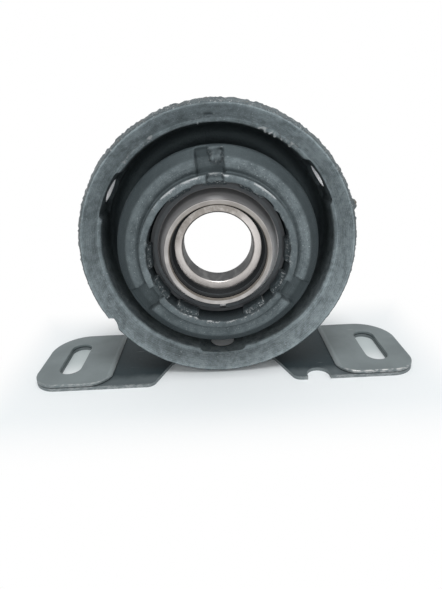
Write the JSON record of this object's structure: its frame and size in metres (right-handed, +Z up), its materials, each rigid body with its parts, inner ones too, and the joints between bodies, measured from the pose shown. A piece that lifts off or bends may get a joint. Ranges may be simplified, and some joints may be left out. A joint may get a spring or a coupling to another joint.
{
  "type": "driveshaft centre bearing",
  "caption": "Ball bearing held in a rubber cushion inside a steel ring, on a pressed strap with two slotted feet; carries the middle of a propeller shaft.",
  "frame": {"origin": "on the shaft axis, in the middle of the bearing's width", "axes": "+Y along the shaft, away from the dust shield; +X across the feet; +Z up from the feet to the ring"},
  "size_m": [0.2012, 0.055, 0.1353],
  "materials": {
    "painted_strap": "satin dark grey paint",
    "painted_plate": "satin dark grey paint",
    "shell_steel": "dull bare steel",
    "weld": "painted over",
    "cushion_rubber": "matt, with moulding flash",
    "sleeve_steel": "black coat",
    "spring_steel": "dull",
    "bearing_steel": "ground",
    "shield_steel": "turned",
    "seal_rubber": "satin",
    "insert_steel": "pressed",
    "cage_steel": "pressed",
    "ball_steel": "polished"
  },
  "bodies": {
    "housing": {"mounting_strap": "painted_strap", "foot_plate_left": "painted_plate", "foot_plate_right": "painted_plate", "outer_shell": "shell_steel", "weld_beads": "weld", "rubber_cushion": "cushion_rubber", "inner_sleeve": "sleeve_steel", "retaining_ring": "spring_steel", "bearing_outer_ring": "bearing_steel", "front_dust_shield": "shield_steel", "front_seal": "seal_rubber", "front_seal_insert": "insert_steel", "rear_seal": "seal_rubber", "rear_seal_insert": "insert_steel"},
    "inner_race": {"bearing_inner_ring": "bearing_steel"},
    "ball_set": {"cage_front_half": "cage_steel", "cage_rear_half": "cage_steel", "cage_rivets": "cage_steel", "ball_01": "ball_steel", "ball_02": "ball_steel", "ball_03": "ball_steel", "ball_04": "ball_steel", "ball_05": "ball_steel", "ball_06": "ball_steel", "ball_07": "ball_steel", "ball_08": "ball_steel", "ball_09": "ball_steel", "ball_10": "ball_steel", "ball_11": "ball_steel"}
  },
  "joints": [
    {"name": "inner_ring_spin", "type": "hinge", "parent": "housing", "child": "inner_race", "pos_m": [0, 0, 0], "axis": [0, 1, 0], "continuous": true},
    {"name": "ball_set_spin", "type": "hinge", "parent": "housing", "child": "ball_set", "pos_m": [0, 0, 0], "axis": [0, 1, 0], "continuous": true}
  ],
  "couplings": [
    {"joint": "ball_set_spin", "follows": "inner_ring_spin", "ratio": 0.4181}
  ]
}
